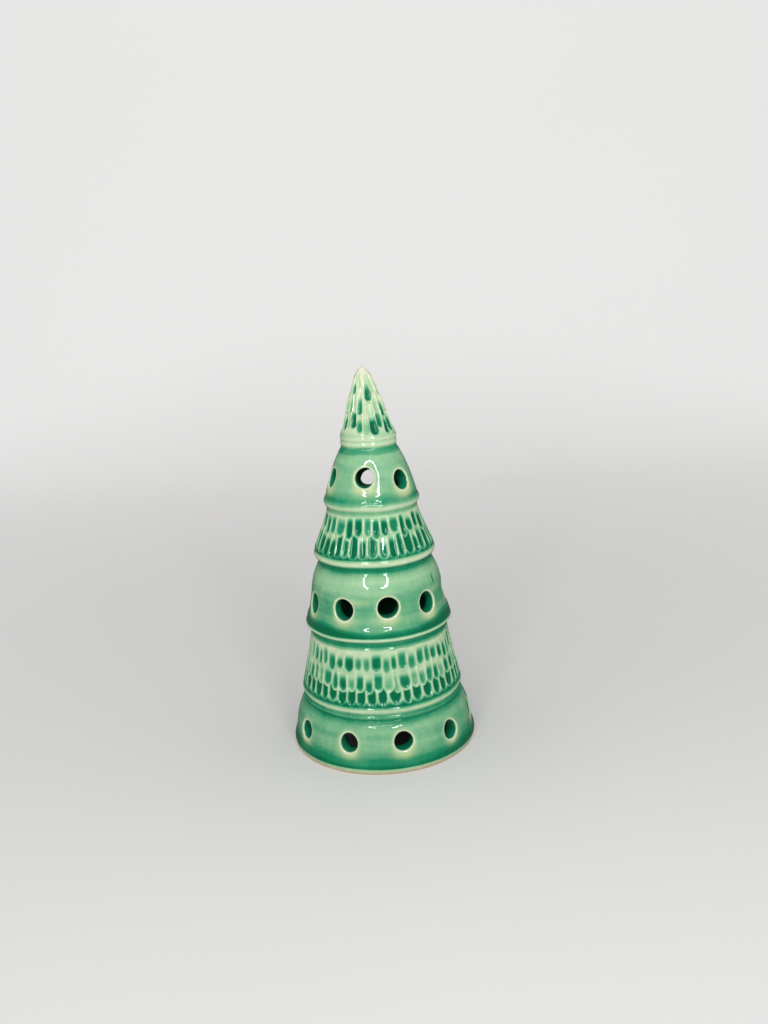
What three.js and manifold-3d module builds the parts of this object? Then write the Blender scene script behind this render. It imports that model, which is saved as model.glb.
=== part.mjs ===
// A wheel-thrown ceramic Christmas tree luminary: a hollow, open-footed stoneware cone with three pierced
// tiers, two gouged tiers and a gouged tip, standing over a battery tea light.
// Millimetres, +Z up, origin on the table at the middle of the foot, front towards -Y.

import * as THREE from 'three';
import { mergeVertices } from 'three/addons/utils/BufferGeometryUtils.js';
import Module from 'manifold-3d';

const wasm = await Module();
wasm.setup();
const { Manifold, Mesh } = wasm;

// Tree: heights of its stages, stacked from the table up
const footTierHeight = 23.0;
const beadedRingHeight = 7.2;               // a thin and a thick bead over the foot tier
const lowerFirstRow = 7.3;                  // rows of gouges, bottom row first
const lowerSecondRow = 7.7;
const lowerThirdRow = 10.0;
const lipHeight = 6.0;                      // cove and lip under the waist tier
const waistTierHeight = 27.2;
const collarHeight = 7.0;                   // recess and bead over the waist tier
const upperFirstRow = 9.2;
const upperSecondRow = 8.0;
const crownBandHeight = 7.2;                // cove and bead under the crown tier
const crownTierHeight = 21.6;
const neckHeight = 6.4;                     // recess and two beads
const tipFirstRow = 9.4;
const tipSecondRow = 9.0;
const tipThirdRow = 7.4;
const tipPointHeight = 4.4;

// Tree: radii, from the table up
const footRadius = 42.5;
const footBulgeRadius = 43.6;
const footFlareRadius = 42.6;
const footShoulderRadius = 37.6;
const footRecessRadius = 36.6;
const thinBeadRadius = 37.8;
const lowerBeadRadius = 38.1;
const lowerGougedTopRadius = 32.4;
const waistCoveRadius = 31.7;
const waistLipRadius = 34.4;
const waistShoulderRadius = 26.6;
const collarRecessRadius = 26.1;
const collarBeadRadius = 28.1;
const upperGougedTopRadius = 21.0;
const crownCoveRadius = 20.6;
const crownBeadRadius = 21.9;
const crownShoulderRadius = 13.1;
const neckRecessRadius = 12.2;
const neckBeadRadius = 12.8;
const tipPointRadius = 3.9;
const footBelly = 1.0;                      // how far each wall bulges past a straight cone
const waistBelly = 1.1;
const crownBelly = 0.7;
const gougedBelly = -0.2;
const tipBelly = 0.4;
const tipLean = 0.9;                        // the hand-formed point leans to the left
const beadRelief = 0.9;                     // how far a bead stands past the clay beside it
const neckBeadRelief = 0.5;
const coveRise = 0.2;                       // how far each recess fills out upwards
const setBack = 0.3;                        // of a wall behind the lip or bead that it rises from
const crownSetBack = 0.9;
const shoulderEase = 0.5;                   // height of the soft corner under each recess

// Tree: wall, holes and gouges
const footWall = 5.0;
const recessWall = 3.4;                     // clay left behind each recess
const cavityTop = 29.0;                     // clay over the cavity, up to the point
const holeDiameter = 8.4;                   // in the foot and crown tiers
const waistHoleDiameter = 9.3;
const footHoleHeight = 13.8;                // each above the bottom of its own tier
const waistHoleHeight = 12.4;
const crownHoleHeight = 9.6;
const gougeDepth = 0.95;
const tipGougeDepth = 1.15;
const gougeWave = 1.0;                      // how far a gouge's pointed end dips past its row line
const gougeScatter = 0.3;                   // unevenness of the hand work, as a share of a gouge
const lowerGouges = 50;                     // in each row
const upperGouges = 34;
const tipGouges = 16;

// Holes by hand: bearing in degrees from the front, towards +X, and drop below the tier's hole height
const footHoles = [[-61.4, 1], [-23.2, 0], [12, -0.7], [47.2, 0.8], [82, 0.9], [118, 0.2], [155, -0.5],
  [191, 0.3], [228, 0.8], [264, 0.4]];
const waistHoles = [[-69.3, 1.8], [-29.2, 0.3], [9.2, -0.7], [47.4, 0.9], [88, 1.2], [128, 0.1], [169, -0.8],
  [209, 0.5], [250, 1.3]];
const crownHoles = [[-73, 0.4], [-8.2, -1.1], [49, 1.4], [114, 3.8], [182, 5.9], [234, 3.6]];

// Tea light: moulded case
const cupRadius = 18.5;
const cupTopRadius = 17.9;
const cupWall = 1.2;
const cupLipWidth = 1.6;
const cupRimRise = 3.3;                     // rim of the case over its dished deck
const cupEdge = 0.5;                        // soft edges of the case
const deckRadius = 11.0;
const plateLift = 1.0;                      // the base plate stays clear of the table
const plateThickness = 1.9;
const fit = 0.3;                            // clearance between parts that seat in each other

// Tea light: flame and lamp
const flameRise = 19.8;                     // tip of the flame over the deck
const flameNeckRise = 0.6;                  // straight neck between the deck and the flame's belly
const flameNeckRadius = 4.9;
const flameBellyRadius = 5.8;
const flameWall = 0.9;
const flameFlangeRadius = 6.6;
const flameFlangeThickness = 1.0;
const flameLean = 1.0;
const lampRadius = 2.5;
const lampLength = 8.6;
const lampFlangeRadius = 2.9;
const lampFlangeThickness = 1.0;
const lampStandHeight = 2.7;                // moulded ring that carries the lamp over the battery well
const lampStandRim = 0.2;                   // of the ring past the lamp's flange
const lampStandWall = 1.1;
const leadBend = 0.5;
const leadPitch = 2.54;
const leadRadius = 0.25;

// Tea light: battery, door and switch
const cellRadius = 10.0;
const cellThickness = 3.2;
const cellCapRadius = 8.6;
const cellCapHeight = 0.5;
const cellOffset = 3.4;                     // the cell sits off the middle, away from the switch
const wellWall = 1.2;
const wellHeadroom = 1.2;                   // between the cell and the well's roof, for the spring leaf
const roofThickness = 1.0;
const doorThickness = 1.3;
const hingeBarrelRadius = 0.8;
const hingePinRadius = 0.5;
const hingeBarrelLength = 7.6;
const hingePinReach = 1.2;                  // each pin past its end of the barrel
const latchWidth = 6.0;
const latchReach = 0.9;
const stripThickness = 0.3;
const stripWidth = 2.8;
const stripGap = 1.4;                       // between the two strips that the switch joins
const stripLanding = 4.0;                   // of each strip on the well's roof
const leadLap = 1.0;                        // of each lamp leg over its strip
const leafReach = 4.0;                      // of the spring leaf past the cell's middle
const knobLength = 3.6;
const knobWidth = 2.6;
const knobOffset = 12.3;                    // distance of the switch from the middle
const knobDrop = 0.6;                       // how far the grip stands below the plate
const knobFlange = 2.2;                     // how far the flange reaches past the grip each way
const knobFlangeSide = 0.8;
const knobFlangeThickness = 1.0;
const knobTravel = 2.4;
const knobRibs = 3;
const ribDepth = 0.35;

// Faces round a full turn
const footFaces = 44;
const waistFaces = 40;
const crownFaces = 34;
const neckFaces = 26;
const cavityFaces = 26;
const holeFaces = 12;
const cupFaces = 28;
const smallFaces = 16;

const degrees = Math.PI / 180;
const { lerp, clamp } = THREE.MathUtils;
const total = (list) => list.reduce((sum, value) => sum + value, 0);

const lowerGougeRows = [lowerFirstRow, lowerSecondRow, lowerThirdRow];
const upperGougeRows = [upperFirstRow, upperSecondRow];
const tipGougeRows = [tipFirstRow, tipSecondRow, tipThirdRow];

// Heights above the table where each stage of the tree starts
const ringBase = footTierHeight;
const lowerGougeBase = ringBase + beadedRingHeight;
const lipBase = lowerGougeBase + total(lowerGougeRows);
const waistBase = lipBase + lipHeight;
const collarBase = waistBase + waistTierHeight;
const upperGougeBase = collarBase + collarHeight;
const crownBandBase = upperGougeBase + total(upperGougeRows);
const crownBase = crownBandBase + crownBandHeight;
const neckBase = crownBase + crownTierHeight;
const tipBase = neckBase + neckHeight;
const tipTop = tipBase + total(tipGougeRows);
const treeHeight = tipTop + tipPointHeight;

// Turns a closed geometry into a solid that can be cut and joined
function solid(geometry) {
  const bare = new THREE.BufferGeometry().setAttribute('position', geometry.getAttribute('position'));
  bare.setIndex(geometry.getIndex());
  const merged = mergeVertices(bare, 1e-4);
  return new Manifold(new Mesh({
    numProp: 3,
    vertProperties: new Float32Array(merged.attributes.position.array),
    triVerts: new Uint32Array(merged.index.array),
  }));
}

function geometryOf(body) {
  const mesh = body.getMesh();
  const geometry = new THREE.BufferGeometry();
  geometry.setAttribute('position', new THREE.BufferAttribute(new Float32Array(mesh.vertProperties), 3));
  geometry.setIndex(new THREE.BufferAttribute(new Uint32Array(mesh.triVerts), 1));
  geometry.computeVertexNormals();
  return geometry;
}

// Revolves [radius, height] points about Z; the outline runs up the outside
function revolve(outline, faces) {
  const points = outline.map(([radius, height]) => new THREE.Vector2(radius, height));
  return solid(new THREE.LatheGeometry(points, faces).rotateX(Math.PI / 2));
}

function cylinder(radius, bottom, top, faces, y = 0) {
  const geometry = new THREE.CylinderGeometry(radius, radius, top - bottom, faces).rotateX(Math.PI / 2);
  return solid(geometry.translate(0, y, (bottom + top) / 2));
}

// A block between two opposite corners
function block(low, high) {
  const size = high.map((value, axis) => value - low[axis]);
  const middle = high.map((value, axis) => (value + low[axis]) / 2);
  return solid(new THREE.BoxGeometry(...size).translate(...middle));
}

// A flat metal strip bent along [along, height] points, thickened to the left of its path
function bentStrip(path) {
  const line = path.map(([along, height]) => new THREE.Vector2(along, height));
  const sides = line.slice(1).map((point, i) => {
    const step = point.clone().sub(line[i]).normalize();
    return new THREE.Vector2(-step.y, step.x);
  });
  const offset = line.map((point, i) => {
    const before = sides[Math.max(i - 1, 0)];
    const after = sides[Math.min(i, sides.length - 1)];
    const mitre = before.clone().add(after).normalize();
    return point.clone().addScaledVector(mitre, stripThickness / mitre.dot(after));
  });
  const shape = new THREE.Shape([...line, ...offset.reverse()]);
  return new THREE.ExtrudeGeometry(shape, { depth: stripWidth, bevelEnabled: false });
}

// A repeatable unevenness between -0.5 and 0.5 for the n-th mark of a kind
function uneven(kind, n) {
  const wild = Math.sin(kind * 127.1 + n * 311.7) * 43758.5453;
  return wild - Math.floor(wild) - 0.5;
}

// The radius of a thrown wall at a height: a cone that bulges towards its top
function wall(base, top, baseRadius, topRadius, belly) {
  return (z) => {
    const t = clamp((z - base) / (top - base), 0, 1);
    return lerp(baseRadius, topRadius, t) + belly * Math.sin(Math.PI * t ** 1.6);
  };
}

const footWallRadius = wall(0.25 * footTierHeight, ringBase, footFlareRadius, footShoulderRadius, footBelly);
const waistWallRadius = wall(waistBase, collarBase, waistLipRadius - setBack, waistShoulderRadius,
  waistBelly);
const crownWallRadius = wall(crownBase, neckBase, crownBeadRadius - crownSetBack, crownShoulderRadius,
  crownBelly);
const lowerGougedRadius = wall(lowerGougeBase, lipBase, lowerBeadRadius - setBack, lowerGougedTopRadius,
  gougedBelly);
const upperGougedRadius = wall(upperGougeBase, crownBandBase, collarBeadRadius - setBack,
  upperGougedTopRadius, gougedBelly);
const tipRadius = wall(tipBase, tipTop, neckBeadRadius - setBack, tipPointRadius, tipBelly);

// [radius, height] points up a pierced tier's wall
function wallOutline(radiusAt, base, top, steps) {
  return Array.from({ length: steps + 1 }, (_, i) => {
    const z = lerp(base, top, i / steps);
    return [radiusAt(z), z];
  });
}

// [radius, height] points up a half-round bead
function bead(radius, relief, base, height) {
  return [0, 0.2, 0.5, 0.8, 1].map((t) => [radius - relief * (1 - Math.sin(Math.PI * t)), base + height * t]);
}

// A ring of vertices round the axis, each [turn, radius, height]
function plainRings(outline, faces) {
  return outline.map(([radius, z]) => Array.from({ length: faces }, (_, i) => [
    (i / faces) * 2 * Math.PI, radius, z,
  ]));
}

// Rings for a band of gouges. Each gouge is a scoop, shallow at its top and deep at its pointed lower end,
// with a sharp ridge on each side; each row stands half a gouge round from the row below. The rings on the
// row lines zigzag, and columns count half gouges round the band.
function gougedRings({ base, rows, count, depth, radiusAt }) {
  const columns = 2 * count;
  const halfGouge = Math.PI / count;
  const kindOf = (row) => row + 7 * count;
  const nudge = (row, column) => gougeScatter * uneven(kindOf(row), column % columns);
  const wave = (row) => Math.min(gougeWave, 0.16 * rows[Math.min(row, rows.length - 1)]);
  const isRidge = (row, column) => (row + column) % 2 === 0;

  const rowLine = (row, height) => Array.from({ length: columns }, (_, column) => {
    const dip = (isRidge(row, column) ? 1 : -1) + 2 * gougeScatter * uneven(kindOf(row) + 50, column);
    const z = height + wave(row) * dip;
    return [(column + nudge(row, column)) * halfGouge, radiusAt(z), z];
  });
  // a level inside a row: each ridge, then the gouge after it, cut at the given shares of its width
  const level = (row, height, t, cuts) => Array.from({ length: count }, (_, gouge) => {
    const left = 2 * gouge + (row % 2);
    const turnAt = (column) => (column + lerp(nudge(row, column), nudge(row + 1, column), t)) * halfGouge;
    const z = height + rows[row] * t;
    const cut = depth * (1 + gougeScatter * uneven(kindOf(row) + 90, gouge));
    const ridge = [turnAt(left), radiusAt(z) - 0.1 * depth, z];
    return [ridge, ...cuts.map(([across, share]) => [
      lerp(turnAt(left), turnAt(left + 2), across), radiusAt(z) - cut * share, z,
    ])];
  }).flat();

  const rings = [];
  let height = base;
  rows.forEach((rowHeight, row) => {
    rings.push(rowLine(row, height));
    rings.push(level(row, height, 0.27, [[0.25, 0.95], [0.75, 1]]));
    rings.push(level(row, height, 0.66, [[0.5, 0.75]]));
    height += rowHeight;
  });
  rings.push(rowLine(rows.length, height));
  return rings;
}

// Joins rings of unlike counts into one closed skin, with a point at each end of the axis
function skin(rings, bottom, top) {
  const positions = [0, 0, bottom, 0, 0, top];
  const faces = [];
  const firsts = rings.map((ring) => {
    const first = positions.length / 3;
    ring.forEach(([turn, radius, z]) => positions.push(radius * Math.cos(turn), radius * Math.sin(turn), z));
    return first;
  });
  const turnOf = (ring, i) => ring[i % ring.length][0] + (i >= ring.length ? 2 * Math.PI : 0);
  rings.slice(1).forEach((upper, k) => {
    const lower = rings[k];
    const low = (i) => firsts[k] + (i % lower.length);
    const high = (j) => firsts[k + 1] + (j % upper.length);
    let i = 0;
    let j = 0;
    while (i < lower.length || j < upper.length) {
      const lowerNext = i < lower.length ? turnOf(lower, i + 1) : Infinity;
      const upperNext = j < upper.length ? turnOf(upper, j + 1) : Infinity;
      if (lowerNext <= upperNext) {
        faces.push(low(i), low(i + 1), high(j));
        i += 1;
      } else {
        faces.push(low(i), high(j + 1), high(j));
        j += 1;
      }
    }
  });
  const last = rings.length - 1;
  const next = (ring, i) => firsts[ring] + ((i + 1) % rings[ring].length);
  rings[0].forEach((_, i) => faces.push(next(0, i), firsts[0] + i, 0));
  rings[last].forEach((_, i) => faces.push(firsts[last] + i, next(last, i), 1));
  const geometry = new THREE.BufferGeometry();
  geometry.setAttribute('position', new THREE.Float32BufferAttribute(positions, 3));
  geometry.setIndex(faces);
  return geometry;
}

// Outside of the tree, stage by stage, as rings of vertices
function treeRings() {
  const lowerBeadHeight = 0.5 * beadedRingHeight;
  const foot = [
    [footRadius, 0],
    [lerp(footRadius, footBulgeRadius, 0.7), 0.05 * footTierHeight],
    [footBulgeRadius, 0.13 * footTierHeight],
    ...wallOutline(footWallRadius, 0.25 * footTierHeight, ringBase - 2 * shoulderEase, 3),
    [footRecessRadius, ringBase],
    ...bead(thinBeadRadius, beadRelief, ringBase + 0.12 * beadedRingHeight, 0.3 * beadedRingHeight).slice(1),
    ...bead(lowerBeadRadius, beadRelief, ringBase + lowerBeadHeight, lowerBeadHeight).slice(1, -1),
  ];
  const lip = [
    [waistCoveRadius, lipBase + 0.22 * lipHeight],
    [waistCoveRadius + coveRise, lipBase + 0.5 * lipHeight],
    [waistLipRadius - setBack, lipBase + 0.75 * lipHeight],
    [waistLipRadius, lipBase + 0.85 * lipHeight],
    ...wallOutline(waistWallRadius, waistBase, collarBase - shoulderEase, 5),
    [collarRecessRadius, collarBase + 0.12 * collarHeight],
    [collarRecessRadius + coveRise, collarBase + 0.38 * collarHeight],
    ...bead(collarBeadRadius, beadRelief, collarBase + 0.45 * collarHeight, 0.55 * collarHeight).slice(0, -1),
  ];
  const crownBeadHeight = 0.58 * crownBandHeight;
  const crown = [
    [crownCoveRadius, crownBandBase + 0.2 * crownBandHeight],
    [crownCoveRadius + coveRise, crownBandBase + 0.36 * crownBandHeight],
    ...bead(crownBeadRadius, beadRelief, crownBase - crownBeadHeight, crownBeadHeight).slice(1, -1),
    ...wallOutline(crownWallRadius, crownBase, neckBase - shoulderEase, 4),
  ];
  const neckBeadHeight = 0.36 * neckHeight;
  const neck = [
    [neckRecessRadius, neckBase + 0.12 * neckHeight],
    ...bead(neckBeadRadius, neckBeadRelief, neckBase + 0.24 * neckHeight, neckBeadHeight).slice(1, -1),
    ...bead(neckBeadRadius, neckBeadRelief, tipBase - neckBeadHeight, neckBeadHeight).slice(0, -1),
  ];
  const point = [
    [0.6 * tipPointRadius, tipTop + 0.5 * tipPointHeight],
    [0.3 * tipPointRadius, tipTop + 0.85 * tipPointHeight],
  ];
  return [
    ...plainRings(foot, footFaces),
    ...gougedRings({ base: lowerGougeBase, rows: lowerGougeRows, count: lowerGouges, depth: gougeDepth,
      radiusAt: lowerGougedRadius }),
    ...plainRings(lip, waistFaces),
    ...gougedRings({ base: upperGougeBase, rows: upperGougeRows, count: upperGouges, depth: gougeDepth,
      radiusAt: upperGougedRadius }),
    ...plainRings(crown, crownFaces),
    ...plainRings(neck, neckFaces),
    ...gougedRings({ base: tipBase, rows: tipGougeRows, count: tipGouges, depth: tipGougeDepth,
      radiusAt: tipRadius }),
    ...plainRings(point, tipGouges),
  ];
}

// The inside is thrown smooth: a curve that keeps clay behind every recess
function cavityOutline() {
  const mouth = footRadius - footWall;
  const turns = [
    [mouth, 0],
    [footRecessRadius - recessWall, ringBase + 0.4 * beadedRingHeight],
    [waistCoveRadius - recessWall, lipBase + 0.3 * lipHeight],
    [collarRecessRadius - recessWall, collarBase + 0.3 * collarHeight],
    [crownCoveRadius - recessWall, crownBandBase + 0.3 * crownBandHeight],
    [neckRecessRadius - recessWall, neckBase],
    [0, treeHeight - cavityTop],
  ];
  const curve = new THREE.SplineCurve(turns.map(([radius, height]) => new THREE.Vector2(radius, height)));
  const inside = curve.getPoints(9).map((point) => [Math.max(point.x, 0), point.y]);
  return [[0, -1], [mouth, -1], ...inside];
}

// Cutters for one tier's holes, each bored level towards the axis
function holeCutters(holes, diameter, rowHeight, radiusAt) {
  return holes.map(([bearing, drop]) => {
    const z = rowHeight - drop;
    const cutter = new THREE.CylinderGeometry(diameter / 2, diameter / 2, 3 * footWall, holeFaces);
    cutter.translate(0, -radiusAt(z) + 0.3 * footWall, z);
    return solid(cutter.rotateZ(bearing * degrees));
  });
}

function treeShell() {
  const outside = skin(treeRings(), 0, treeHeight);
  const position = outside.getAttribute('position');
  for (let i = 0; i < position.count; i++) {
    const rise = Math.max((position.getZ(i) - tipBase) / (treeHeight - tipBase), 0);
    position.setX(i, position.getX(i) - tipLean * rise);
  }
  const cutters = [
    revolve(cavityOutline(), cavityFaces),
    ...holeCutters(footHoles, holeDiameter, footHoleHeight, footWallRadius),
    ...holeCutters(waistHoles, waistHoleDiameter, waistBase + waistHoleHeight, waistWallRadius),
    ...holeCutters(crownHoles, holeDiameter, crownBase + crownHoleHeight, crownWallRadius),
  ];
  return geometryOf(cutters.reduce((body, cutter) => body.subtract(cutter), solid(outside)));
}

// Levels inside the tea light, stacked from its sizes
const plateTop = plateLift + plateThickness;
const cellBottom = plateLift + doorThickness + fit;
const cellTop = cellBottom + cellThickness;
const roofBottom = cellTop + wellHeadroom;
const roofTop = roofBottom + roofThickness;
const stripLevel = roofTop + fit;
const leadLevel = stripLevel + stripThickness + fit + leadRadius;
const lampStandTop = roofTop + lampStandHeight;
const lampBase = lampStandTop + fit;
const flangeBottom = lampStandTop;
const flangeTop = flangeBottom + flameFlangeThickness;
const deckHeight = flangeTop + fit + cupWall;
const cupHeight = deckHeight + cupRimRise;
const flameHeight = deckHeight + flameRise;
const knobTop = plateTop + fit + knobFlangeThickness;
const bladeTop = knobTop + fit + stripThickness;
const tongueLevel = bladeTop + fit;

// Places inside the tea light, seen from above
const wellRadius = cellRadius + 2 * fit;
const wellOuterRadius = wellRadius + wellWall;
const plateRadius = cupRadius - cupWall - fit;
const latchEdge = cellOffset - wellRadius;
const wellEdge = cellOffset - wellOuterRadius;
const hingeOffset = cellOffset + wellRadius + hingeBarrelRadius - fit;
const hingeLevel = plateLift + hingeBarrelRadius;
const wellSide = Math.sqrt(wellRadius ** 2 - cellOffset ** 2);   // where the well's wall crosses X
const stripSide = stripGap / 2;
const canRiser = wellSide + 2 * fit;                             // where each strip climbs to the roof
const switchRiser = wellEdge - 2 * fit - stripThickness;
const tongueStart = -knobOffset + 0.9 * knobWidth;
const tongueEnd = -knobOffset - 0.5 * knobWidth;

function lightCup() {
  const rim = cupRadius - cupWall;
  const innerTop = cupTopRadius - cupLipWidth;
  const neckBore = flameNeckRadius + fit;
  const skirtTop = plateTop + fit;
  return geometryOf(revolve([
    [rim, 0],
    [cupRadius - cupEdge, 0],
    [cupRadius, cupEdge],
    [cupTopRadius, cupHeight - cupEdge],
    [cupTopRadius - 0.5 * cupLipWidth, cupHeight],
    [innerTop, cupHeight - cupEdge],
    [0.5 * (innerTop + deckRadius), lerp(deckHeight, cupHeight, 0.25)],
    [deckRadius, deckHeight],
    [neckBore, deckHeight],
    [neckBore, deckHeight - cupWall],
    [cupTopRadius - 1.6 * cupWall, deckHeight - cupWall],
    [rim - 0.7 * cupWall, skirtTop],
    [rim, skirtTop],
    [rim, 0],
  ], cupFaces));
}

// The flame: a hollow teardrop on a neck, with a flange that stays under the deck
function flameLens() {
  const bulbBase = deckHeight + flameNeckRise;
  const span = flameHeight - bulbBase;
  // the teardrop as [share of the belly radius, share of its height]
  const teardrop = [[1, 0.24], [0.86, 0.45], [0.5, 0.7], [0.2, 0.9]];
  const outer = teardrop.map(([wide, up]) => [wide * flameBellyRadius, bulbBase + up * span]);
  const inner = teardrop.slice(0, 3).map(([wide, up]) => [
    wide * flameBellyRadius - flameWall, bulbBase + (up - 0.03) * span,
  ]);
  const body = revolve([
    [flameNeckRadius - flameWall, flangeBottom],
    [flameFlangeRadius, flangeBottom],
    [flameFlangeRadius, flangeTop],
    [flameNeckRadius, flangeTop],
    [flameNeckRadius, bulbBase],
    ...outer,
    [0, flameHeight],
    [0, bulbBase + 0.8 * span],
    ...inner.reverse(),
    [flameNeckRadius - flameWall, bulbBase],
    [flameNeckRadius - flameWall, flangeBottom],
  ], smallFaces);
  const geometry = geometryOf(body);
  const position = geometry.getAttribute('position');
  for (let i = 0; i < position.count; i++) {
    const rise = Math.max((position.getZ(i) - bulbBase) / span, 0);
    position.setX(i, position.getX(i) + flameLean * rise ** 3);
  }
  return geometry;
}

function lampBulb() {
  const domeBase = lampBase + lampLength - lampRadius;
  const dome = [0.3, 0.6].map((t) => [
    lampRadius * Math.cos((t * Math.PI) / 2),
    domeBase + lampRadius * Math.sin((t * Math.PI) / 2),
  ]);
  return geometryOf(revolve([
    [0, lampBase],
    [lampFlangeRadius, lampBase],
    [lampFlangeRadius, lampBase + lampFlangeThickness],
    [lampRadius, lampBase + lampFlangeThickness],
    [lampRadius, domeBase],
    ...dome,
    [0, lampBase + lampLength],
  ], smallFaces));
}

// A lamp leg: down from the lamp, then along over the roof to its metal strip
function lampLead(x, end) {
  const corner = new THREE.Vector3(x, 0, leadLevel);
  const target = new THREE.Vector3(...end, leadLevel);
  const down = new THREE.Vector3(x, 0, leadLevel + leadBend);
  const out = corner.clone().add(target.clone().sub(corner).setLength(leadBend));
  const path = new THREE.CurvePath();
  path.add(new THREE.LineCurve3(new THREE.Vector3(x, 0, lampBase - fit), down));
  path.add(new THREE.QuadraticBezierCurve3(down, corner, out));
  path.add(new THREE.LineCurve3(out, target));
  const section = new THREE.Shape().absarc(0, 0, leadRadius, 0, 2 * Math.PI);
  return new THREE.ExtrudeGeometry(section, { steps: 12, curveSegments: 3, extrudePath: path });
}

// Base plate, moulded in one with the battery well and the ring that carries the lamp
function basePlate() {
  const standRadius = lampFlangeRadius + lampStandRim;
  const past = standRadius + fit;
  const slotSide = leadRadius + fit;
  const slotX = -leadPitch / 2;
  let body = cylinder(plateRadius, plateLift, plateTop, cupFaces);
  body = body.add(cylinder(wellOuterRadius, plateLift + plateThickness / 2, roofTop, cupFaces, cellOffset));
  body = body.add(cylinder(standRadius, roofTop - roofThickness / 2, lampStandTop, smallFaces));
  body = body.subtract(cylinder(standRadius - lampStandWall, roofTop, lampBase, smallFaces));
  body = body.subtract(cylinder(wellRadius, plateLift - fit, roofBottom, cupFaces, cellOffset));
  body = body.subtract(block([-past, -slotSide, roofTop], [past, slotSide, lampBase]));
  body = body.subtract(block([slotX - slotSide, -past, roofTop], [slotX + slotSide, 0, lampBase]));
  for (const cut of [...hingeCuts(), latchCut(), switchSlot(), ...stripWindows()]) body = body.subtract(cut);
  return geometryOf(body);
}

// A bay for the hinge barrel, and a bore on each side of it for the pins
function hingeCuts() {
  const halfBay = hingeBarrelLength / 2 + fit;
  const depth = hingeBarrelRadius + fit;
  const boreRadius = hingePinRadius + fit / 2;
  const boreLength = hingeBarrelLength + 2 * (hingePinReach + fit);
  const bore = new THREE.CylinderGeometry(boreRadius, boreRadius, boreLength, 10).rotateZ(Math.PI / 2);
  return [
    block([-halfBay, hingeOffset - depth - 2, plateLift - 1], [halfBay, hingeOffset + depth, plateTop + 1]),
    solid(bore.translate(0, hingeOffset, hingeLevel)),
  ];
}

function latchCut() {
  const half = latchWidth / 2 + fit;
  return block([-half, latchEdge - latchReach - fit, plateLift - 1], [half, latchEdge + 2, cellBottom]);
}

function switchSlot() {
  const half = (knobLength + knobTravel) / 2 + fit;
  const side = knobWidth / 2 + fit;
  return block([-half, -knobOffset - side, plateLift - 1], [half, -knobOffset + side, plateTop + 1]);
}

// Openings in the well's wall for the strip to the can and for the spring leaf
function stripWindows() {
  const half = stripWidth / 2 + fit;
  const leafEdge = stripSide + stripWidth + fit;
  return [
    block([wellSide - 0.5, -half, cellBottom], [wellOuterRadius + 1, half, roofTop + 1]),
    block([stripSide - fit, wellEdge - 1, cellTop], [leafEdge, latchEdge + 3, roofBottom]),
  ];
}

// The coin cell: the can with its smaller cap, cap upwards
function coinCell() {
  const canTop = cellTop - cellCapHeight;
  const bevel = 0.4;
  const body = revolve([
    [0, cellBottom],
    [cellRadius - bevel, cellBottom],
    [cellRadius, cellBottom + bevel],
    [cellRadius, canTop],
    [cellCapRadius, canTop],
    [cellCapRadius - bevel, cellTop],
    [0, cellTop],
  ], cupFaces);
  return geometryOf(body).translate(0, cellOffset, 0);
}

// Strips are drawn in the plane of their bends, then turned to run from front to back
const frontToBack = (strip, x) => strip.rotateX(Math.PI / 2).rotateZ(Math.PI / 2).translate(x, 0, 0);

// Spring leaf over the cell's cap, out through the well's wall and down to the switch
function negativeContact() {
  const leaf = cellTop + fit;
  const strip = bentStrip([
    [cellOffset + leafReach, leaf],
    [tongueStart + 1.2, leaf],
    [tongueStart, tongueLevel],
    [tongueEnd, tongueLevel],
  ].reverse());
  return frontToBack(strip, stripSide);
}

// Strip from the switch up to the lamp's cathode leg
function switchContact() {
  const strip = bentStrip([
    [tongueEnd, tongueLevel],
    [switchRiser, tongueLevel],
    [switchRiser, stripLevel],
    [switchRiser + stripLanding, stripLevel],
  ]);
  return frontToBack(strip, -stripSide - stripWidth);
}

// Strip that touches the side of the can and comes up over the roof to the anode leg
function positiveContact() {
  const strip = bentStrip([
    [canRiser, cellBottom + 2 * fit],
    [canRiser, stripLevel],
    [canRiser - stripLanding, stripLevel],
  ].reverse());
  return strip.rotateX(Math.PI / 2).translate(0, stripWidth / 2, 0);
}

// The bridge that the knob carries under the two tongues
function switchBlade() {
  const x = -knobTravel / 2;
  const half = stripWidth + stripGap / 2;
  return geometryOf(block([x - half, -knobOffset - 0.4 * knobWidth, bladeTop - stripThickness],
    [x + half, -knobOffset + 0.4 * knobWidth, bladeTop]));
}

// The slide knob at off: a ribbed grip below the plate and a flange above it
function switchKnob() {
  const x = -knobTravel / 2;
  const gripBottom = plateLift - knobDrop;
  const [halfLength, halfWidth] = [knobLength / 2, knobWidth / 2];
  let body = block([x - halfLength, -knobOffset - halfWidth, gripBottom],
    [x + halfLength, -knobOffset + halfWidth, plateTop + fit + 0.1]);
  const [flangeLength, flangeWidth] = [halfLength + knobFlange, halfWidth + knobFlangeSide];
  body = body.add(block([x - flangeLength, -knobOffset - flangeWidth, plateTop + fit],
    [x + flangeLength, -knobOffset + flangeWidth, knobTop]));
  for (let rib = 0; rib < knobRibs; rib++) {
    const middle = x + knobLength * ((rib + 0.5) / knobRibs - 0.5);
    body = body.subtract(block([middle - ribDepth / 2, -knobOffset - knobWidth, gripBottom - 1],
      [middle + ribDepth / 2, -knobOffset + knobWidth, gripBottom + ribDepth]));
  }
  return geometryOf(body);
}

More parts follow.
